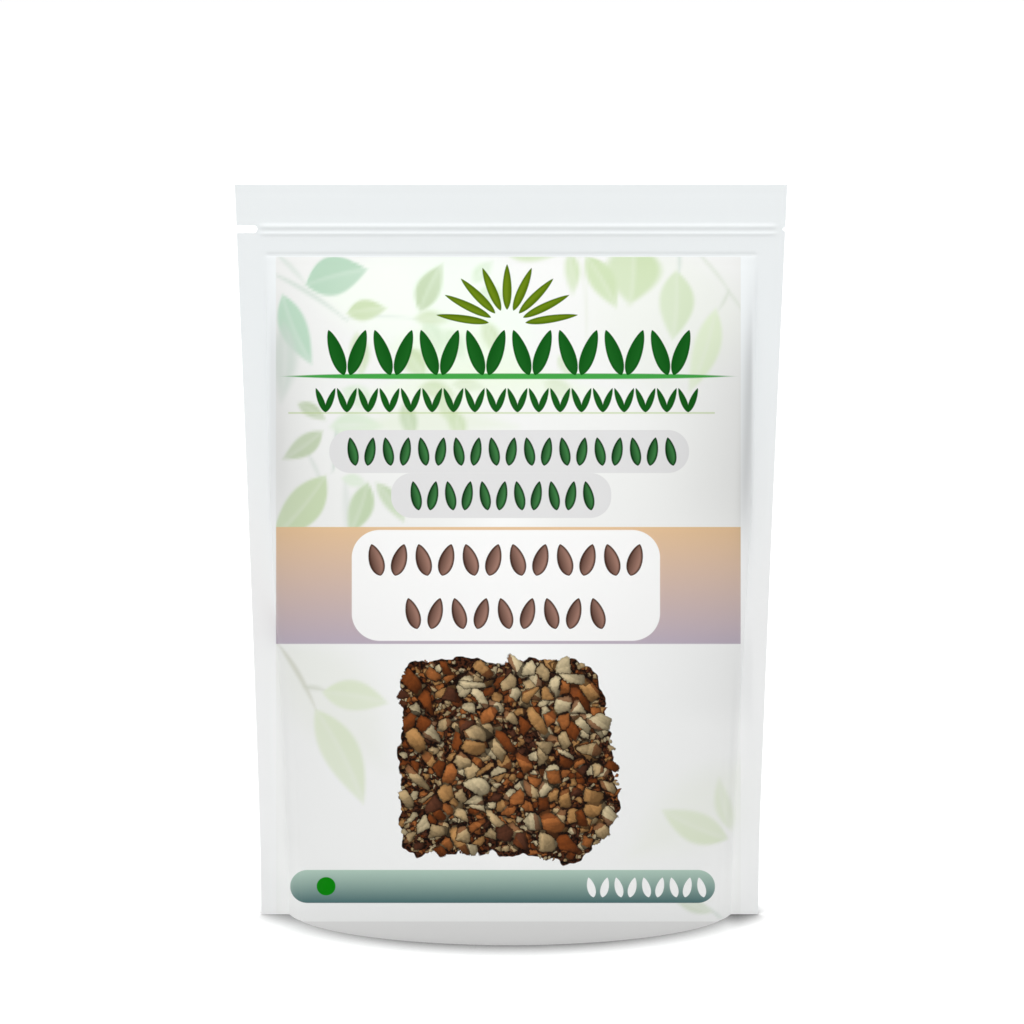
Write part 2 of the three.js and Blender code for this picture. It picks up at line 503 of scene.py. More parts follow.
def patch_group():
    """A filled rectangle with round corners: its mask."""
    tree, p = group_tree(
        "round patch",
        {"Place": "Vector", "Centre": "Vector", "Half size": "Vector", "Corner": "Float",
         "Softness": "Float"},
        {"Mask": "Float"},
    )
    inside = p.add("NodeGroupInput").outputs
    from_centre = p.vector("ABSOLUTE", p.vector("SUBTRACT", inside["Place"], inside["Centre"]))
    x, y, _ = p.split(p.vector("SUBTRACT", from_centre, inside["Half size"]))
    x = p.math("ADD", x, inside["Corner"])
    y = p.math("ADD", y, inside["Corner"])
    corner = p.vector("LENGTH", p.join(p.math("MAXIMUM", x, 0.0), p.math("MAXIMUM", y, 0.0)))
    edge = p.math("ADD", corner, p.math("MINIMUM", p.math("MAXIMUM", x, y), 0.0))
    edge = p.math("SUBTRACT", edge, inside["Corner"])
    mask = p.reach(p.math("DIVIDE", edge, inside["Softness"]), 0.5, -0.5)
    p.feed(p.add("NodeGroupOutput").inputs["Mask"], mask)
    return tree


# How suddenly a lens narrows to its ends
LENS_POWER = 5.0


def lens_group():
    """A long thin shape with pointed ends: its mask."""
    tree, p = group_tree(
        "lens",
        {"Place": "Vector", "Centre": "Vector", "Half length": "Float", "Half width": "Float",
         "Softness": "Float"},
        {"Mask": "Float"},
    )
    inside = p.add("NodeGroupInput").outputs
    x, y, _ = p.split(p.vector("SUBTRACT", inside["Place"], inside["Centre"]))
    along = p.math("ABSOLUTE", p.math("DIVIDE", x, inside["Half length"]))
    belly = p.math("SUBTRACT", 1.0, p.math("POWER", along, LENS_POWER))
    gap = p.math("SUBTRACT", p.math("MULTIPLY", belly, inside["Half width"]), p.math("ABSOLUTE", y))
    mask = p.reach(p.math("DIVIDE", gap, inside["Softness"]), 0.0, 1.0)
    p.feed(p.add("NodeGroupOutput").inputs["Mask"], mask)
    return tree


# A kernel's outline: lower powers are rounder, and it is fuller at its foot than at its point
KERNEL_POWER = 0.62
KERNEL_FOOT = 0.6
KERNEL_TAPER = 0.2
# Distances in from its outline over which it starts, and over which its dark rim fades
KERNEL_EDGE = (0.05, 0.4)
KERNEL_RIM = (0.3, 1.6)


def draw_kernel(p, out, across, up, height, width, there):
    """Feeds a kernel's mask and shade: pointed above, rounder below, up being 0 at its middle."""
    share = p.math("ADD", p.math("DIVIDE", up, height), 0.5, clamp=True)
    belly = p.math("MULTIPLY", p.math("MULTIPLY", share, p.math("SUBTRACT", 1.0, share)), 4.0)
    belly = p.math("POWER", belly, KERNEL_POWER)
    fullness = p.math("SUBTRACT", KERNEL_FOOT, p.math("MULTIPLY", share, KERNEL_TAPER))
    belly = p.math("MULTIPLY", belly, fullness)
    gap = p.math("SUBTRACT", p.math("MULTIPLY", belly, width), p.math("ABSOLUTE", across))
    p.feed(out["Mask"], p.math("MULTIPLY", there, p.reach(gap, *KERNEL_EDGE)))
    lit = p.math("ADD", p.math("DIVIDE", across, width), 0.5, clamp=True)
    p.feed(out["Shade"], p.math("MULTIPLY", lit, p.reach(gap, *KERNEL_RIM)))


def kernel_row_group(paired):
    """A row of pointed kernels, leaning left and right in turn or in pairs like a sprout's leaves."""
    tree, p = group_tree(
        "sprout row" if paired else "kernel row",
        {"Place": "Vector", "Start": "Vector", "Pitch": "Float", "Count": "Float", "Height": "Float",
         "Width": "Float", "Lean": "Float", "Apart": "Float"},
        {"Mask": "Float", "Shade": "Float"},
    )
    inside = p.add("NodeGroupInput").outputs
    x, y, _ = p.split(p.vector("SUBTRACT", inside["Place"], inside["Start"]))
    cell = p.math("DIVIDE", x, inside["Pitch"])
    number = p.math("FLOOR", cell)
    there = p.math("MULTIPLY", p.math("GREATER_THAN", cell, 0.0), p.math("LESS_THAN", cell, inside["Count"]))
    across = p.math("MULTIPLY", p.math("SUBTRACT", p.math("SUBTRACT", cell, number), 0.5), inside["Pitch"])
    if paired:
        across = p.math("SUBTRACT", p.math("ABSOLUTE", across), inside["Apart"])
        lean = inside["Lean"]
    else:
        way = p.math("SUBTRACT", p.math("MULTIPLY", p.math("FLOORED_MODULO", number, 2.0), 2.0), 1.0)
        lean = p.math("MULTIPLY", way, inside["Lean"])
    turned = p.add("VectorRotate", rotation_type="Z_AXIS")
    p.feed(turned.inputs["Vector"], p.join(across, y))
    p.feed(turned.inputs["Angle"], lean)
    across, up, _ = p.split(turned.outputs[0])
    out = p.add("NodeGroupOutput").inputs
    draw_kernel(p, out, across, up, inside["Height"], inside["Width"], there)
    return tree


# Distances across the fan count as this much less, which spreads it wider than it is high
FAN_SQUEEZE = 0.84


def leaf_fan_group():
    """Slender leaves that spread like a hand fan over a point."""
    tree, p = group_tree(
        "leaf fan",
        {"Place": "Vector", "Centre": "Vector", "Count": "Float", "Start": "Float", "Length": "Float",
         "Width": "Float"},
        {"Mask": "Float", "Shade": "Float"},
    )
    inside = p.add("NodeGroupInput").outputs
    from_centre = p.vector("SUBTRACT", inside["Place"], inside["Centre"])
    x, y, _ = p.split(p.vector("MULTIPLY", from_centre, (FAN_SQUEEZE, 1.0, 0.0)))
    step = p.math("DIVIDE", math.pi, inside["Count"])
    number = p.math("FLOOR", p.math("DIVIDE", p.math("ARCTAN2", y, x), step))
    there = p.math("GREATER_THAN", number, -0.5)
    turned = p.add("VectorRotate", rotation_type="Z_AXIS", invert=True)
    p.feed(turned.inputs["Vector"], p.join(x, y))
    p.feed(turned.inputs["Angle"], p.math("MULTIPLY", p.math("ADD", number, 0.5), step))
    along, across, _ = p.split(turned.outputs[0])
    half_length = p.math("MULTIPLY", inside["Length"], 0.5)
    up = p.math("SUBTRACT", p.math("SUBTRACT", along, inside["Start"]), half_length)
    draw_kernel(p, p.add("NodeGroupOutput").inputs, across, up, inside["Length"], inside["Width"], there)
    return tree


# The brittle's picture: the middle, half size and corners of its square
BRITTLE_CENTRE = (-0.6, 70.4, 0.0)
BRITTLE_HALF = (46.4, 43.2, 0.0)
BRITTLE_CORNER = 9.0
# Its right edge slopes in above one height and below another, fully so from SLANT_FULL to the right
SLANT_HIGH = 62.0
SLANT_HIGH_SLOPE = 0.2
SLANT_LOW = 48.0
SLANT_LOW_SLOPE = 0.5
SLANT_FULL = 30.0
# Its foot has a lobe: x at its middle, half widths where it ends and where it is full, its heights and depth
LOBE_MIDDLE = 22.0
LOBE_END = 16.0
LOBE_FLAT = 4.0
LOBE_TOP = 45.0
LOBE_FULL = 30.0
LOBE_DEPTH = 3.6
# Its outline wanders by RAGGED and its chips' edges by CRUMBLED, each by noise of so many bumps per mm
RAGGED = 9.0
RAGGED_SCALE = 0.1
CRUMBLED = 1.2
CRUMBLED_SCALE = 0.75
# Dark and light chocolate, and the grain values between which one turns into the other
CHOCOLATE_DARK = srgb(14, 5, 2)
CHOCOLATE_LIGHT = srgb(74, 38, 20)
CHOCOLATE_TURN = (0.38, 0.66)
# Layers of chips, from the crumbs up to the largest
CHIP_LAYERS = (
    # turn, stretch, chips per mm, share kept, gap round a chip
    (0.3, 1.0, 0.62, 0.40, 0.10),
    (0.0, 1.2, 0.38, 0.46, 0.16),
    (0.6, 1.6, 0.27, 0.42, 0.28),
    (-0.9, 1.5, 0.21, 0.40, 0.34),
    (2.2, 2.3, 0.19, 0.26, 0.34),
    (1.2, 1.3, 0.165, 0.30, 0.42),
    (-0.4, 1.4, 0.15, 0.22, 0.42),
)
# Plain tones of the chips: the share of the lots at which each starts, and its colour
CHIP_TONES = (
    (0.0, (204, 186, 148)),
    (0.22, (190, 163, 120)),
    (0.44, (180, 134, 82)),
    (0.62, (172, 104, 54)),
    (0.77, (124, 64, 26)),
    (0.91, (92, 54, 36)),
)
# A chip: half its edge's softness, and the share of a cell at which a circle rounds it off
CHIP_SOFT = 0.2
CHIP_ROUND = 0.62
# The patch that holds the chips' middles is smaller by half a chip, but for the part that may stick out
CHIP_HALF = 0.3
CHIP_OVERHANG = 0.1
CHIP_PATCH_CORNER = 10.0
CHIP_PATCH_SOFT = 0.1
# The dark gap beside a chip, and the strip of brown skin along one side, in shares of a cell
GAP_TONE = srgb(18, 7, 3)
GAP_DARKNESS = 0.75
SKIN_TONE = srgb(116, 62, 30)
SKIN_START = 0.28
SKIN_FULL = 0.34
SKIN_COVER = 0.8
SKIN_LEAST_LOT = 0.3
# Angle over which the lots turn the skin's side, in radians: many turns, so that every side comes up
SKIN_TURNS = 40.0
# Its light and shade: a slope over the whole chip, a step at its facet, and grain
CHIP_SLOPE = (-0.12, 0.18, 0.0)
FACET_HALF = 0.3
FACET_STEP = 0.4
GRAIN_STEP = 0.9
CHIP_LIT = (-0.1, 1.5)
CHIP_SHADES = (0.40, 1.24)
RIM_WIDTH = 1.0
RIM_SHADE = 0.62


def squared(p, place):
    """Place moved so that the brittle's uneven outline becomes a plain square."""
    x, height, _ = p.split(place)
    above = p.math("MAXIMUM", p.math("SUBTRACT", height, SLANT_HIGH), 0.0)
    below = p.math("MAXIMUM", p.math("SUBTRACT", SLANT_LOW, height), 0.0)
    above = p.math("MULTIPLY", above, SLANT_HIGH_SLOPE)
    below = p.math("MULTIPLY", below, SLANT_LOW_SLOPE)
    out = p.math("MULTIPLY", p.math("ADD", above, below), p.reach(x, 0.0, SLANT_FULL))
    lobe = p.reach(p.math("ABSOLUTE", p.math("SUBTRACT", x, LOBE_MIDDLE)), LOBE_END, LOBE_FLAT)
    lobe = p.math("MULTIPLY", lobe, p.reach(height, LOBE_TOP, LOBE_FULL, 0.0, LOBE_DEPTH))
    return p.vector("ADD", place, p.join(out, lobe))


def chip_tone(p, tone_lot):
    """One of the chips' plain tones, by lot."""
    ramp = p.add("ValToRGB")
    ramp.color_ramp.interpolation = "CONSTANT"
    while len(ramp.color_ramp.elements) < len(CHIP_TONES):
        ramp.color_ramp.elements.new(1.0)
    for element, (at, tone) in zip(ramp.color_ramp.elements, CHIP_TONES):
        element.position = at
        element.color = srgb(*tone)
    p.feed(ramp.inputs[0], tone_lot)
    return ramp.outputs[0]


def chip_layer(p, place, grain, colour, mask, turn, stretch, density, kept, gap):
    """Lays flat chips of nut over colour, each a straight-sided cell with a dark gap round it."""
    turned = p.add("Mapping", vector_type="TEXTURE")
    back = p.add("Mapping", vector_type="POINT")
    for node in (turned, back):
        p.feed(node.inputs["Rotation"], (0.0, 0.0, turn))
        p.feed(node.inputs["Scale"], (stretch, 1.0, 1.0))
    p.feed(turned.inputs["Vector"], place)
    cells = {}
    for feature in ("F1", "DISTANCE_TO_EDGE"):
        cells[feature] = p.add("TexVoronoi", voronoi_dimensions="2D", feature=feature)
        p.feed(cells[feature].inputs["Vector"], turned.outputs[0])
        p.feed(cells[feature].inputs["Scale"], density)
    p.feed(back.inputs["Vector"], cells["F1"].outputs["Position"])
    lot, tone_lot, shade_lot = p.split(cells["F1"].outputs["Color"])
    edge = p.math("DIVIDE", cells["DISTANCE_TO_EDGE"].outputs["Distance"], density)
    # A chip may stick out of the square, but its middle lies in it
    inset = (CHIP_HALF * stretch - CHIP_OVERHANG) / density
    half_size = (BRITTLE_HALF[0] - inset, BRITTLE_HALF[1] - inset, 0.0)
    middle = squared(p, back.outputs[0])
    patch = p.place(PATCH, middle, BRITTLE_CENTRE, half_size, CHIP_PATCH_CORNER, CHIP_PATCH_SOFT)[0]
    inside = p.math("GREATER_THAN", patch, 0.5)
    present = p.math("MULTIPLY", p.math("LESS_THAN", lot, kept), inside)
    # The corners of a cell are rounded off by a circle about its middle
    middle_gap = p.math("SUBTRACT", CHIP_ROUND, cells["F1"].outputs["Distance"])
    middle_gap = p.math("DIVIDE", middle_gap, density)
    edge = p.math("MINIMUM", edge, p.math("ADD", middle_gap, gap))
    chip = p.math("MULTIPLY", p.reach(edge, gap - CHIP_SOFT, gap + CHIP_SOFT), present)
    # A strip of brown skin along one side of most chips, and a facet that splits it into light and dark
    from_middle = p.vector("SUBTRACT", place, back.outputs[0])
    way = p.math("MULTIPLY", shade_lot, SKIN_TURNS)
    across = p.vector("DOT_PRODUCT", from_middle, p.join(p.math("COSINE", way), p.math("SINE", way)))
    skin = p.reach(across, SKIN_START / density, SKIN_FULL / density)
    skin = p.math("MULTIPLY", skin, p.math("GREATER_THAN", shade_lot, SKIN_LEAST_LOT))
    tone = p.mix(p.math("MULTIPLY", skin, SKIN_COVER), chip_tone(p, tone_lot), SKIN_TONE)
    lit = p.vector("DOT_PRODUCT", from_middle, CHIP_SLOPE)
    facet = p.reach(across, -FACET_HALF, FACET_HALF)
    lit = p.math("ADD", lit, p.math("MULTIPLY", facet, FACET_STEP))
    lit = p.math("ADD", lit, p.math("MULTIPLY", grain, GRAIN_STEP))
    shade = p.reach(lit, *CHIP_LIT, *CHIP_SHADES, soft=False)
    shade = p.math("MULTIPLY", shade, p.reach(edge, gap, gap + RIM_WIDTH, RIM_SHADE, 1.0))
    tone = p.mix(1.0, tone, p.join(shade, shade, shade), "MULTIPLY")
    under = p.mix(p.math("MULTIPLY", present, GAP_DARKNESS), colour, GAP_TONE)
    return p.mix(chip, under, tone), p.math("MAXIMUM", mask, chip)


def brittle_group():
    """A picture of a square of nut brittle, flat chips of colour on chocolate: its colour and mask."""
    tree, p = group_tree("brittle picture", {"Place": "Vector"}, {"Colour": "Color", "Mask": "Float"})
    place = p.add("NodeGroupInput").outputs["Place"]
    ragged = p.add("TexNoise", noise_dimensions="2D")
    grain = p.add("TexNoise", noise_dimensions="2D")
    for node, scale in ((ragged, RAGGED_SCALE), (grain, CRUMBLED_SCALE)):
        p.feed(node.inputs["Vector"], place)
        p.feed(node.inputs["Scale"], scale)
        p.feed(node.inputs["Detail"], 2.0)
    shift = p.vector("SUBTRACT", ragged.outputs["Color"], (0.5, 0.5, 0.5))
    outline = p.vector("ADD", squared(p, place), p.vector("MULTIPLY", shift, (RAGGED, RAGGED, 0.0)))
    mask = p.place(PATCH, outline, BRITTLE_CENTRE, BRITTLE_HALF, BRITTLE_CORNER, 0.5)[0]
    shift = p.vector("SUBTRACT", grain.outputs["Color"], (0.5, 0.5, 0.5))
    place = p.vector("ADD", place, p.vector("MULTIPLY", shift, (CRUMBLED, CRUMBLED, 0.0)))
    grain = grain.outputs[0]
    colour = p.mix(p.reach(grain, *CHOCOLATE_TURN), CHOCOLATE_DARK, CHOCOLATE_LIGHT)
    for layer in CHIP_LAYERS:
        colour, mask = chip_layer(p, place, grain, colour, mask, *layer)
    out = p.add("NodeGroupOutput").inputs
    p.feed(out["Colour"], colour)
    p.feed(out["Mask"], mask)
    return tree


# The film's finish: bumps per metre of its crinkle and its grain, the grain's height next to the crinkle's,
# and the roughness at either end of the crinkle's range
CRINKLE_SCALE = 22.0
GRAIN_SCALE = 420.0
GRAIN_SHARE = 0.02
CRINKLE_RANGE = (0.3, 0.7)
FILM_ROUGHNESS = (0.29, 0.37)
# How strongly the crinkle turns the light, its depth in metres, and how much the film mirrors
CRINKLE_STRENGTH = 0.35
CRINKLE_METRES = 0.0006
FILM_SPECULAR = 0.06


def finish_group():
    """The film's own finish: fine crinkle height and an uneven gloss."""
    tree, p = group_tree("film finish", {"Place": "Vector"}, {"Height": "Float", "Roughness": "Float"})
    place = p.add("NodeGroupInput").outputs["Place"]
    heights = []
    for scale in (CRINKLE_SCALE, GRAIN_SCALE):
        noise = p.add("TexNoise")
        p.feed(noise.inputs["Vector"], place)
        p.feed(noise.inputs["Scale"], scale)
        p.feed(noise.inputs["Detail"], 2.0)
        heights.append(noise.outputs[0])
    crinkle, grain = heights
    out = p.add("NodeGroupOutput").inputs
    p.feed(out["Height"], p.math("ADD", crinkle, p.math("MULTIPLY", grain, GRAIN_SHARE)))
    p.feed(out["Roughness"], p.reach(crinkle, *CRINKLE_RANGE, *FILM_ROUGHNESS, soft=False))
    return tree


PATCH = patch_group()
LENS = lens_group()
KERNELS = kernel_row_group(False)
SPROUTS = kernel_row_group(True)
LEAF_FAN = leaf_fan_group()
BRITTLE = brittle_group()
FINISH = finish_group()

FILM_WHITE = srgb(246, 250, 251)
SEAL_WHITE = srgb(252, 253, 253)
# Painted shade: the greyer white of the film where it turns in at its foot
TUCK_PAINTED_SHADE = srgb(232, 232, 231)
PRINT_WHITE_LOW = srgb(248, 249, 248)
# Painted shade: the print's white is darker higher up
PRINT_WHITE_HIGH_SHADED = srgb(240, 241, 239)
# Distances from the middle between which the turned-in film's painted shade becomes the seals' white, heights
# between which both become the upper film's, and the height and rise over which the print's white turns to
# the darker white higher up, which is painted shade
SEAL_WHITE_TURN = (96.0, 98.0)
FILM_WHITE_TURN = (120.0, 285.0)
PRINT_WHITE_TURN = 105.0
PRINT_WHITE_RISE = 60.0


def new_material(name):
    """An empty material, and the painter that fills it."""
    material = bpy.data.materials.new(name)
    material.use_nodes = True
    material.node_tree.nodes.clear()
    return material, Painter(material.node_tree)


def film_material(name, colour_of):
    """Glossy film whose colour is what colour_of paints from the print's place, times the painted shade and
    light in its shade attribute.
    """
    material, p = new_material(name)
    shader = p.add("BsdfPrincipled")
    p.feed(p.add("OutputMaterial").inputs["Surface"], shader.outputs[0])
    object_place = p.add("TexCoord").outputs["Object"]
    height, roughness = p.place(FINISH, object_place)
    bump = p.add("Bump")
    p.feed(bump.inputs["Strength"], CRINKLE_STRENGTH)
    p.feed(bump.inputs["Distance"], CRINKLE_METRES)
    p.feed(bump.inputs["Height"], height)
    p.feed(shader.inputs["Normal"], bump.outputs[0])
    p.feed(shader.inputs["Roughness"], roughness)
    p.feed(shader.inputs["Specular IOR Level"], FILM_SPECULAR)
    # Painted shade and painted light: the shade attribute darkens or lightens the film's colour
    shade = p.add("Attribute", attribute_name="shade").outputs["Fac"]
    p.feed(shader.inputs["Base Color"], p.mix(1.0, colour_of(p), p.join(shade, shade, shade), "MULTIPLY"))
    return material


def film_white(p, place):
    """The unprinted film: whiter where it is welded at the sides, and greyer with painted shade where it
    turns in at its foot.
    """
    x, height, _ = p.split(place)
    low = p.mix(p.reach(p.math("ABSOLUTE", x), *SEAL_WHITE_TURN), TUCK_PAINTED_SHADE, SEAL_WHITE)
    return p.mix(p.reach(height, *FILM_WHITE_TURN), low, FILM_WHITE)


def plain_colour(p):
    return film_white(p, p.add("UVMap", uv_map="print").outputs[0])


# Leaves: foot x, foot height, turn in degrees, length, width (below 0 if it bends to its right), softness,
# strength, tint
BLUE_GREEN = srgb(184, 214, 191)
FRESH_GREEN = srgb(204, 221, 182)
SAGE_GREEN = srgb(198, 212, 183)
MOSS_GREEN = srgb(196, 214, 180)
LIME_GREEN = srgb(212, 226, 196)
MIST_GREEN = srgb(214, 232, 206)
PALE_GREEN = srgb(227, 236, 212)
STEM_GREEN = srgb(209, 221, 212)
TWIG_GREEN = srgb(214, 222, 208)
LEAVES = (
    (-87.5, 275, 14, 27, 16, 2.0, 1.0, BLUE_GREEN),
    (-97.5, 271, -67, 32, -11.5, 2.0, 1.0, srgb(190, 220, 198)),
    (-70, 263, 7, 17, 8.5, 2.2, 1.0, FRESH_GREEN),
    (-39, 264, 64, 22, 10, 2.4, 1.0, MOSS_GREEN),
    (-41, 261, -3, 15, 6, 4.0, 0.8, FRESH_GREEN),
    (-37, 259, -62, 15, 9, 4.0, 0.8, MIST_GREEN),
    (-28, 256, -58, 14, 8, 4.0, 0.8, MIST_GREEN),
    (-97, 259, -92, 33, 10, 5.0, 0.7, STEM_GREEN),
    (-66, 255, -84, 19, 8, 3.0, 0.8, FRESH_GREEN),
    (-46, 248, -52, 15, 10, 3.4, 0.9, FRESH_GREEN),
    (-16, 276, 48, 12, 6, 3.0, 0.8, MIST_GREEN),
    (-15, 271, -6, 14, 7, 4.0, 0.8, MIST_GREEN),
    (-12, 260, -66, 17, 7, 4.0, 0.8, FRESH_GREEN),
    (-2, 288, -2, 21, 7, 3.0, 0.9, FRESH_GREEN),
    (25, 289, -86, 18, 6, 3.0, 0.9, FRESH_GREEN),
    (32, 287, -59, 25, 10.5, 2.4, 1.0, FRESH_GREEN),
    (52, 293, -93, 26, 23, 5.0, 0.9, FRESH_GREEN),
    (70.4, 281, -93, 29, 14.5, 2.6, 0.95, LIME_GREEN),
    (87.4, 265, -108, 37, 11, 2.6, 1.0, srgb(224, 236, 208)),
    (20, 245, -50, 12, 6, 3.0, 0.7, FRESH_GREEN),
    (-39, 232, -14, 16, 7, 4.0, 0.8, FRESH_GREEN),
    (-25, 233, -6, 14, 5, 3.0, 0.7, LIME_GREEN),
    (-31, 230, -66, 16, 7, 3.4, 0.8, FRESH_GREEN),
    (-72, 231, -30, 17, 9, 4.0, 0.7, MIST_GREEN),
    (14, 234, -26, 16, 7, 3.4, 0.7, LIME_GREEN),
    (-91, 225, -31, 14, 5.5, 2.0, 1.0, SAGE_GREEN),
    (-80.5, 213, -145, 20.5, 8.5, 2.0, 1.0, SAGE_GREEN),
    (-77, 215, 0, 22, 11, 4.0, 0.7, MIST_GREEN),
    (-46, 225, -76, 16, 7, 3.0, 0.9, MOSS_GREEN),
    (-25, 222, -74, 14, 7, 3.0, 0.8, FRESH_GREEN),
    (-79, 194, -130, 36, 15, 2.0, 1.0, srgb(204, 220, 184)),
    (-61, 191, -110, 24, 10, 2.2, 1.0, MOSS_GREEN),
    (-57.5, 191, -55, 21, 6.5, 2.2, 0.9, MOSS_GREEN),
    (-72, 193, -16, 11, 5, 3.0, 0.7, MIST_GREEN),
    (-80.5, 99.5, -10, 28.5, 13, 2.2, 0.9, PALE_GREEN),
    (-83.5, 92, -64, 47, 15.5, 2.4, 0.9, PALE_GREEN),
    (92.5, 34, 155, 31, 13.5, 2.4, 0.9, PALE_GREEN),
    (94, 38, 103, 24, 7, 3.0, 0.7, PALE_GREEN),
    (86, 0.8, 155, 20, 6.0, 2.4, 0.8, srgb(218, 228, 208)),
)
# Stems are very long thin leaves, and the haze is very wide soft ones; the first of these is a painted
# highlight down the middle of the body
STEMS = (
    (-102, 280, -32, 38, 1.8, 2.2, 0.9, STEM_GREEN),
    (-100, 288, -46, 18, 1.8, 2.6, 0.7, STEM_GREEN),
    (-72, 261, -1, 34, 1.2, 2.0, 0.5, STEM_GREEN),
    (29, 290, -86, 42, 1.4, 2.2, 0.6, srgb(226, 230, 219)),
    (71.5, 290, -90, 11, 1.4, 2.2, 0.8, STEM_GREEN),
    (78, 290, -50, 25, 1.4, 2.0, 0.7, TWIG_GREEN),
    (93, 273, -118, 10, 1.4, 2.0, 0.7, TWIG_GREEN),
    (92, 273, -54, 12, 1.2, 2.0, 0.6, TWIG_GREEN),
    (-74.5, 215, -95, 20, 2.2, 1.8, 0.9, srgb(200, 212, 204)),
    (-87, 204, -66, 16, 1.6, 2.2, 0.5, srgb(206, 216, 208)),
    (-71, 192, -90, 22, 3.0, 3.0, 0.4, srgb(206, 216, 208)),
    (-99.5, 121, -61, 34, 2.0, 2.0, 0.9, srgb(214, 216, 203)),
    (-89, 102, -10, 11, 1.8, 2.0, 0.8, srgb(214, 218, 205)),
    (90.5, -2.5, 137, 8, 1.6, 2.0, 0.6, STEM_GREEN),
)
HAZE_AND_HIGHLIGHT = (
    # A painted highlight: a soft whiter patch down the middle of the body
    (0, 24, 90, 180, 52, 46.0, 0.8, srgb(253, 254, 253)),
    (-84, 274, -14, 90, 34, 18.0, 0.9, srgb(243, 250, 240)),
    (-44, 282, -28, 60, 34, 18.0, 0.7, srgb(238, 250, 237)),
    (-52, 249, -12, 70, 24, 12.0, 0.9, srgb(234, 246, 226)),
    (-60, 229, 0, 100, 16, 10.0, 0.7, srgb(236, 246, 226)),
    (-64, 215, 0, 66, 12, 8.0, 0.8, srgb(230, 238, 220)),
    (66, 290, -92, 64, 64, 30.0, 1.0, srgb(236, 239, 233)),
    (-98, 122, -52, 70, 34, 20.0, 0.5, srgb(236, 239, 229)),
    (98, 66, -140, 60, 26, 20.0, 0.5, srgb(238, 242, 230)),
)
# A leaf: how far it bends, its fullness at the foot and how much less it is at the tip, and how the tip fades
LEAF_CURVE = 0.14
LEAF_FULLNESS = 1.25
LEAF_TAPER = 0.5
LEAF_TIP_FADE = 0.15
# Its middle rib: half width, how far past it one half of the leaf grows fuller, and how much lighter it is
RIB_HALF_WIDTH = 1.0
RIB_SIDE = 2.0
RIB_LIGHTER = 0.16


def ease(value):
    """The curve of smooth from 0 to 1, for whole arrays."""
    share = np.clip(value, 0.0, 1.0)
    return share * share * (3 - 2 * share)


# Painted shade and painted light on the film's colour, in soft bands that run up the film, leaning out with
# the seals: x at the middle, half width, height of the middle, half height, how much darker (below 0, painted
# light)
SHADES = (
    (0.0, 62.0, 232.0, 60.0, 0.03),
    (101.0, 2.6, 217.0, 46.0, 0.20),
    (98.0, 30.0, 212.0, 42.0, 0.105),
    (98.0, 34.0, 106.0, 18.0, 0.05),
    (-100.0, 4.0, 222.0, 42.0, 0.06),
    (-97.0, 12.0, 216.0, 44.0, 0.07),
    (-95.4, 1.1, 66.0, 60.0, 0.02),
    (94.0, 1.5, 66.0, 44.0, 0.04),
    (-99.0, 1.8, 50.0, 54.0, -0.04),
    (96.5, 1.8, 50.0, 54.0, -0.04),
    (-94.0, 8.0, 6.0, 22.0, -0.05),
    (90.0, 8.0, 6.0, 22.0, -0.05),
)
# How far they lean for each millimetre up, how far from the middle they start to fade, and over what length
SHADE_LEAN = 0.04
SHADE_END = 102.0
SHADE_FADE = 2.0


def painted_film_shade(places):
    """Painted shade and light: how light the body's film is painted at each place of the print, next to its
    full colour.
    """
    x, z = np.array(places).T
    shade = np.ones(len(places))
    for middle, half_width, height, half_height, darker in SHADES:
        lean = math.copysign(SHADE_LEAN, middle) * (z - height)
        across = np.exp(-(((x - middle - lean) / half_width) ** 2))
        shade -= darker * across * np.exp(-(((z - height) / half_height) ** 4))
    return 1 + (shade - 1) * ease((SHADE_END + SHADE_FADE - abs(x)) / SHADE_FADE)


def leafy_ground(places):
    """The printed ground at each place: white, darker higher up with painted shade, with a painted highlight
    down the middle, haze, stems and soft leaves.
    """
    x, z = np.array(places).T
    low, high = np.array(PRINT_WHITE_LOW[:3]), np.array(PRINT_WHITE_HIGH_SHADED[:3])
    # The print's white turns darker higher up: painted shade
    ground = low + ease((z - PRINT_WHITE_TURN) / PRINT_WHITE_RISE)[:, None] * (high - low)
    for leaf in HAZE_AND_HIGHLIGHT + STEMS + LEAVES:
        foot_x, foot_z, turn, length, width, soft, strength, tint = leaf
        along_x, along_z = math.cos(math.radians(turn)), math.sin(math.radians(turn))
        along = ((x - foot_x) * along_x + (z - foot_z) * along_z) / length
        inside = np.clip(along, 0.0, 1.0)
        curve = math.copysign(LEAF_CURVE, width) * length * inside * (1 - inside)
        across = (z - foot_z) * along_x - (x - foot_x) * along_z - curve
        half = 2 * abs(width) * inside * (1 - inside) * (LEAF_FULLNESS - LEAF_TAPER * inside)
        gap = half - np.hypot(across, length * (along - inside))
        cover = strength * ease(gap / soft + 0.5) * (1 - LEAF_TIP_FADE * inside)
        if leaf in LEAVES:
            rib = np.exp(-((across / RIB_HALF_WIDTH) ** 2))
            cover = cover * (1 - RIB_LIGHTER * rib + RIB_LIGHTER * ease(across / RIB_SIDE))
        ground += np.clip(cover, 0.0, 1.0)[:, None] * (np.array(tint[:3]) - ground)
    return ground


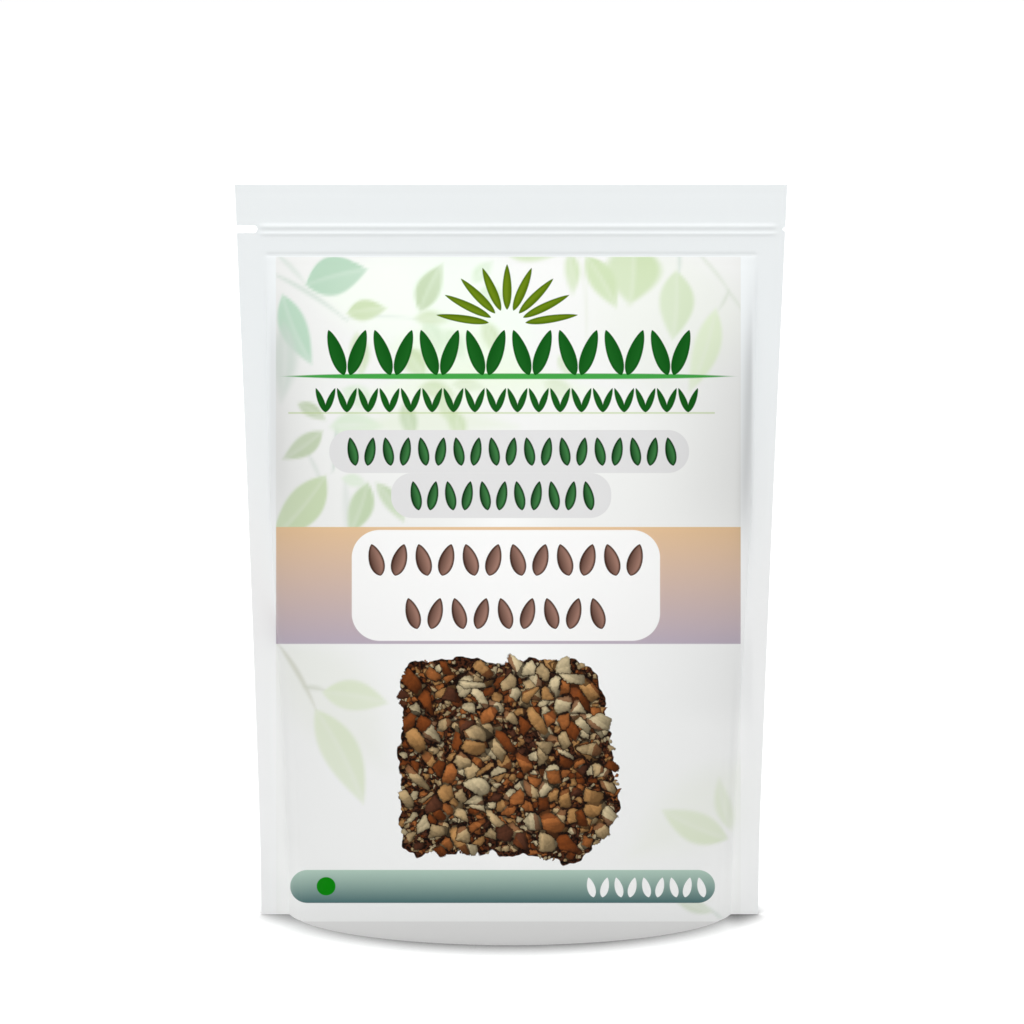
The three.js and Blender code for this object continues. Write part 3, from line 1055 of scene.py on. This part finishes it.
# The print's items, as the reader sees them: x and height of the middle, width, height
PRINTED_PART = (-1.15, 141.68, 198.3, 290.25)
BAND = (-1.15, 146.4, 198.3, 51.0)
BAR = (-3.6, 12.5, 181.2, 15.0)
HAIR_LINE = (-4.05, 220.9, 182.0, 0.7)
PILLS = ((-0.8, 204.4, 153.5, 18.4), (-4.2, 185.5, 93.9, 19.4))
LABEL = (-2.2, 146.4, 131.5, 48.4)
DOT = (-78.9, 12.6, 8.0, 8.3)
BACK_LABEL = (0.0, 146.4, 150.0, 104.0)
# The fan of leaves: its point, count, start and length of the leaves, width
FAN = ((-1.7, 258.0, 0.0), 9.0, 6.5, 19.5, 3.7)
# The long thin line under the large sprouts: its middle, half length, half width, softness
GREEN_LINE = ((-1.1, 236.5, 0.0), 99.5, 1.5, 0.6)
# Rows of leaf shapes, each: start, height, pitch, count, the shapes' height, width, lean and distance apart
# in a pair, dark and light tone
PILL_DARK = srgb(0, 46, 8)
PILL_LIGHT = srgb(72, 142, 78)
LABEL_DARK = srgb(62, 38, 30)
LABEL_LIGHT = srgb(176, 134, 118)
BAR_WHITE = srgb(252, 253, 252)
SPROUT_ROWS = (
    (-79.8, 246.6, 19.72, 8, 20.4, 6.4, 0.34, 4.6, srgb(8, 84, 16), srgb(24, 100, 30)),
    (-83.7, 226.4, 9.1, 18, 11.4, 3.15, 0.38, 2.1, srgb(14, 84, 18), srgb(26, 98, 30)),
)
PILL_ROWS = (
    (-71.3, 204.4, 7.53, 19, 12.6, 4.9, 0.2, 0.0, PILL_DARK, PILL_LIGHT),
    (-44.3, 185.4, 7.36, 11, 13.0, 4.9, 0.2, 0.0, PILL_DARK, PILL_LIGHT),
)
LABEL_ROWS = (
    (-62.6, 157.6, 10.05, 12, 14.4, 6.8, 0.28, 0.0, LABEL_DARK, LABEL_LIGHT),
    (-46.9, 134.2, 9.85, 9, 14.2, 6.4, 0.28, 0.0, LABEL_DARK, LABEL_LIGHT),
)
BAR_ROWS = ((31.2, 12.1, 5.88, 9, 9.4, 3.8, 0.24, 0.0, BAR_WHITE, BAR_WHITE),)
# Plain rules on the back label, the last of them short
RULES = 8
RULE_TOP = 188.0
RULE_STEP = 12.0
RULE_WIDTH = 128.0
RULE_SHORTER = 40.0
RULE_HEIGHT = 0.6


def rounded(p, place, item, corner, soft=0.35):
    """Mask of a rectangle with round corners."""
    x, height, wide, high = item
    return p.place(PATCH, place, (x, height, 0.0), (wide / 2, high / 2, 0.0), corner, soft)[0]


def printed_film(p, place, colour):
    """Keeps colour inside the printed part of the film."""
    return p.mix(rounded(p, place, PRINTED_PART, 0.5, 0.6), film_white(p, place), colour)


def start_print(p):
    """The print's place, and the colour of its ground."""
    place = p.add("UVMap", uv_map="print").outputs[0]
    return place, p.add("Attribute", attribute_name="ground").outputs["Vector"]


def paint_rows(p, place, colour, group, rows):
    """Paints rows of kernels or sprouts over colour."""
    for x, height, pitch, count, tall, wide, lean, apart, dark, light in rows:
        mask, shade = p.place(group, place, (x, height, 0.0), pitch, count, tall, wide, lean, apart)
        colour = p.mix(mask, colour, p.mix(shade, dark, light))
    return colour


def paint_fading(p, place, colour, item, corner, foot_tone, top_tone):
    """Paints a rectangle that turns from one tone at its foot to another at its top."""
    _, middle, _, high = item
    fade = p.reach(p.split(place)[1], middle - high / 2, middle + high / 2, soft=False)
    return p.mix(rounded(p, place, item, corner), colour, p.mix(fade, foot_tone, top_tone))


def paint_band(p, place, colour):
    """Tan band that turns mauve at its foot."""
    return paint_fading(p, place, colour, BAND, 0.2, srgb(188, 176, 190), srgb(229, 194, 153))


def paint_bar(p, place, colour):
    """Grey-green bar with round ends, near the foot."""
    return paint_fading(p, place, colour, BAR, 7.4, srgb(76, 112, 114), srgb(182, 208, 194))


def front_top_colour(p):
    """The front print above the label: fan, sprouts, lines and pills."""
    place, colour = start_print(p)
    mask, shade = p.place(LEAF_FAN, place, *FAN)
    colour = p.mix(mask, colour, p.mix(shade, srgb(80, 108, 2), srgb(120, 148, 26)))
    colour = p.mix(p.place(LENS, place, *GREEN_LINE)[0], colour, srgb(66, 162, 70))
    hair = rounded(p, place, HAIR_LINE, 0.3)
    colour = p.mix(p.math("MULTIPLY", hair, 0.6), colour, srgb(186, 206, 140))
    for pill in PILLS:
        colour = p.mix(rounded(p, place, pill, 9.0), colour, srgb(225, 225, 225))
    colour = paint_rows(p, place, colour, SPROUTS, SPROUT_ROWS)
    colour = paint_rows(p, place, colour, KERNELS, PILL_ROWS)
    return printed_film(p, place, paint_band(p, place, colour))


def front_middle_colour(p):
    """The front print about the label, on the band."""
    place, colour = start_print(p)
    colour = paint_band(p, place, colour)
    colour = p.mix(rounded(p, place, LABEL, 12.0), colour, srgb(250, 250, 249))
    colour = paint_rows(p, place, colour, KERNELS, LABEL_ROWS)
    return printed_film(p, place, colour)


def front_low_colour(p):
    """The front print below the label: the brittle's picture and the bar."""
    place, colour = start_print(p)
    tone, mask = p.place(BRITTLE, place)
    colour = p.mix(mask, paint_band(p, place, colour), tone)
    colour = paint_bar(p, place, colour)
    colour = p.mix(rounded(p, place, DOT, 4.0), colour, srgb(0, 134, 0))
    colour = paint_rows(p, place, colour, KERNELS, BAR_ROWS)
    return printed_film(p, place, colour)


def back_colour(p):
    """The back print: band, bar, and a label with plain rules."""
    place, colour = start_print(p)
    colour = paint_band(p, place, colour)
    colour = p.mix(rounded(p, place, BACK_LABEL, 12.0), colour, srgb(250, 249, 248))
    for line in range(RULES):
        wide = RULE_WIDTH - RULE_SHORTER * (line == RULES - 1)
        rule = (0.0, RULE_TOP - RULE_STEP * line, wide, RULE_HEIGHT)
        colour = p.mix(rounded(p, place, rule, 0.3), colour, srgb(176, 190, 178))
    return printed_film(p, place, paint_bar(p, place, colour))


plain_film = film_material("plain film", plain_colour)
back_print = film_material("back print", back_colour)
front_prints = [
    film_material("front print, low", front_low_colour),
    film_material("front print, middle", front_middle_colour),
    film_material("front print, top", front_top_colour),
]

front_film = film_sheet("front_film", -1, PANEL_EDGES, [*front_prints, plain_film])
back_film = film_sheet("back_film", 1, (), [back_print, plain_film])
gusset_film = gusset_sheet("gusset_film", [plain_film])

for piece in (front_film, back_film, gusset_film):
    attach(piece, "root")
    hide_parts("pouch")


# Floor, light and camera

# Half the floor's side in metres, and how much light it throws back on the pouch
FLOOR_HALF = 40.0
FLOOR_BOUNCE = 0.48
# The soft shadow painted on the floor at the pouch's foot, deeper where the pouch hides more of the floor:
# its reach in metres, its depth along the floor's x, and the distances in metres between which one depth
# turns into the next
SHADOW_REACH = 0.018
SHADOW_DEPTH_MIDDLE = 1.5
SHADOW_DEPTH_FEET = 1.2
SHADOW_DEPTH_RIGHT_FOOT = 2.0
SHADOW_TO_FEET = (0.03, 0.1)
SHADOW_TO_RIGHT_FOOT = (0.092, 0.1)
# Distances from the pouch, in metres, between which the floor begins to glow and glows fully
GLOW_START = 0.2
GLOW_END = 1.0
# Light from all round, and how much of it the gloss sees
WORLD_LIGHT = 0.675
WORLD_IN_GLOSS = 0.2


def floor_material():
    """A matt white floor that glows to the camera away from the pouch, so that only a soft shadow, painted at
    the pouch's foot, shows.
    """
    material, p = new_material("white floor")
    seen = p.add("LightPath").outputs["Is Camera Ray"]
    place = p.add("TexCoord").outputs["Object"]
    close = p.add("AmbientOcclusion", samples=8)
    close.inputs["Distance"].default_value = SHADOW_REACH
    x = p.split(place)[0]
    depth = p.reach(p.math("ABSOLUTE", x), *SHADOW_TO_FEET, SHADOW_DEPTH_MIDDLE, SHADOW_DEPTH_FEET)
    deeper = p.reach(x, *SHADOW_TO_RIGHT_FOOT, 0.0, SHADOW_DEPTH_RIGHT_FOOT - SHADOW_DEPTH_FEET)
    # Painted shadow: the floor's colour darkens where the pouch hides it, deepest at the right foot
    open_share = p.math("POWER", close.outputs["AO"], p.math("ADD", depth, deeper))
    shade = p.add("Mix", data_type="FLOAT")
    p.feed(shade.inputs["Factor"], seen)
    p.feed(shade.inputs["A"], FLOOR_BOUNCE)
    p.feed(shade.inputs["B"], open_share)
    matt = p.add("BsdfDiffuse")
    p.feed(matt.inputs["Color"], shade.outputs[0])
    glow = p.add("Emission")
    strength = p.reach(p.vector("LENGTH", place), GLOW_START, GLOW_END)
    p.feed(glow.inputs["Strength"], p.math("MULTIPLY", seen, strength))
    both = p.add("AddShader")
    p.feed(both.inputs[0], matt.outputs[0])
    p.feed(both.inputs[1], glow.outputs[0])
    p.feed(p.add("OutputMaterial").inputs["Surface"], both.outputs[0])
    return material


def make_floor():
    bm = bmesh.new()
    bmesh.ops.create_grid(bm, x_segments=1, y_segments=1, size=FLOOR_HALF)
    floor = finish_mesh(bm, "floor", [floor_material()])


# Soft square lights: name, place, the point that each is aimed at, side, power in watts
LIGHTS = (
    ("front", (0.0, -2.6, 0.7), (0.0, 0.0, 0.15), 1.0, 6.4),
    ("over", (0.0, 0.0, 1.7), (0.0, 0.0, 0.1), 1.6, 24.0),
    ("over left", (-0.7, -0.3, 1.4), (0.0, 0.0, 0.2), 0.5, 3.4),
    ("over right", (0.7, -0.3, 1.4), (0.0, 0.0, 0.2), 0.5, 1.9),
)


def area_light(name, place, aim, side, power):
    lamp = bpy.data.lights.new(name, "AREA")
    lamp.shape = "SQUARE"
    lamp.size = side
    lamp.energy = power
    light = bpy.data.objects.new(name, lamp)
    direction = Vector(aim) - Vector(place)
    light.matrix_world = Matrix.Translation(place) @ direction.to_track_quat("-Z", "Y").to_matrix().to_4x4()
    bpy.context.scene.collection.objects.link(light)


def make_world():
    """White all round, dimmer where the film mirrors it, and full white behind the pouch."""
    world = bpy.data.worlds.new("studio")
    world.use_nodes = True
    background = world.node_tree.nodes["Background"]
    p = Painter(world.node_tree)
    ray = p.add("LightPath").outputs
    p.feed(background.inputs["Color"], (1.0, 1.0, 1.0, 1.0))
    strength = p.reach(ray["Is Glossy Ray"], 0.0, 1.0, WORLD_LIGHT, WORLD_IN_GLOSS, soft=False)
    p.feed(background.inputs["Strength"], p.math("MAXIMUM", ray["Is Camera Ray"], strength))
    bpy.context.scene.world = world


# The photograph's camera, in metres, degrees and millimetres of lens
CAMERA_AWAY = 1.2
CAMERA_HEIGHT = 0.4029
CAMERA_ACROSS = 0.0004
CAMERA_PITCH = 10.598
CAMERA_LENS = 101.04


def make_camera():
    lens = bpy.data.cameras.new("camera")
    lens.sensor_width = 36.0
    lens.lens = CAMERA_LENS
    lens.clip_end = 60.0
    camera = bpy.data.objects.new("camera", lens)
    camera.location = (CAMERA_ACROSS, -CAMERA_AWAY, CAMERA_HEIGHT)
    camera.rotation_euler = (math.radians(90 - CAMERA_PITCH), 0.0, 0.0)
    bpy.context.scene.collection.objects.link(camera)
    bpy.context.scene.camera = camera


make_camera()
make_floor()
make_world()
for light in LIGHTS:
    area_light(*light)
bpy.context.scene.view_settings.view_transform = "Standard"
